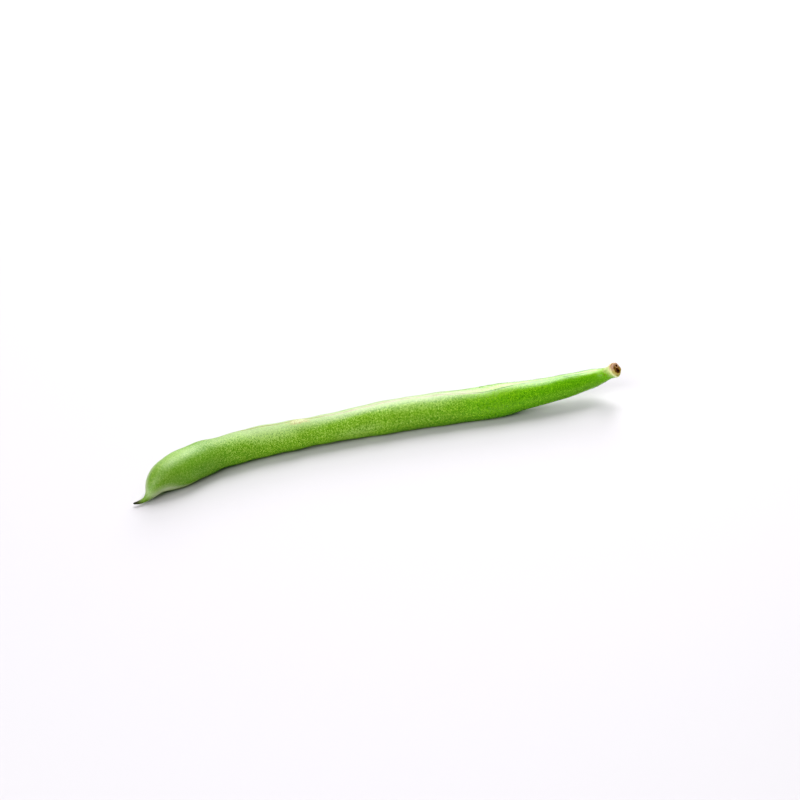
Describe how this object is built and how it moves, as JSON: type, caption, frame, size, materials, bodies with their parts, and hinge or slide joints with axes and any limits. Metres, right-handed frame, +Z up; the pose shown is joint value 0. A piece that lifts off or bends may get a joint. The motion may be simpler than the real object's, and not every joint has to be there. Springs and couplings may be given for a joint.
{
  "type": "green bean",
  "caption": "Long, slightly curved green bean pod lying on its side, with a thin dry beak at one end and a crooked neck with a brown calyx stub at the other.",
  "frame": {"origin": "under the middle of the bean's bounding box, on the surface that it lies on", "axes": "+X runs along the pod from its beak to its stem end, +Y points to the side that the pod bows out to, +Z is up"},
  "size_m": [0.126, 0.017, 0.0108],
  "materials": {
    "pod_skin": "satin",
    "dry_calyx": "matte"
  },
  "bodies": {
    "root": {"pod": "pod_skin", "calyx_stub": "dry_calyx"}
  },
  "joints": []
}
